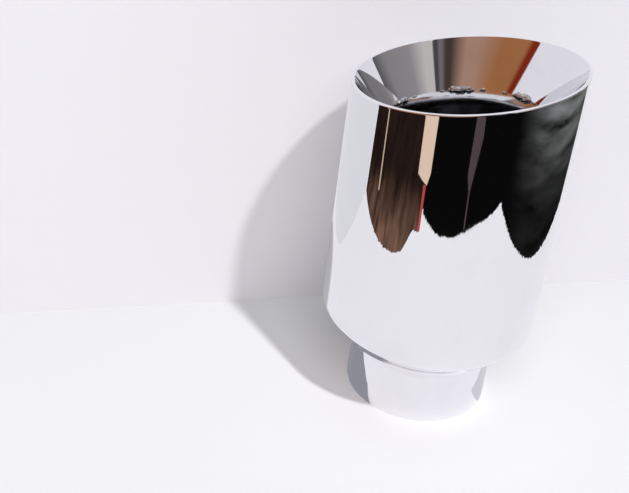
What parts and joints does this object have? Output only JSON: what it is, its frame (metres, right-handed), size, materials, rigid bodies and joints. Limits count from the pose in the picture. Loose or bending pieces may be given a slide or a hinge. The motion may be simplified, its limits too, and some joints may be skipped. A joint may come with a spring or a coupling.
{
  "type": "exhaust tip",
  "caption": "Polished double-walled exhaust tip: round barrel with a slant-cut bevelled mouth, a sloped shoulder and a plain inlet neck that slips over a tailpipe.",
  "frame": {"origin": "middle of the inlet neck's end, on the surface that the tip stands on", "axes": "+Z along the barrel from the inlet to the mouth, +X towards the long side of the slanted mouth"},
  "size_m": [0.1016, 0.1016, 0.1776],
  "materials": {
    "polished_shell": "mirror polished",
    "polished_neck": "mirror polished",
    "polished_weld": "ground and polished",
    "polished_bevel": "mirror polished",
    "mill_steel": "drawn tube, unpolished",
    "weld_metal": "raw weld"
  },
  "bodies": {
    "root": {"outer_shell": "polished_shell", "inlet_neck": "polished_neck", "neck_weld": "polished_weld", "bevel_ring": "polished_bevel", "inner_sleeve": "mill_steel", "tack_welds": "weld_metal"}
  },
  "joints": []
}
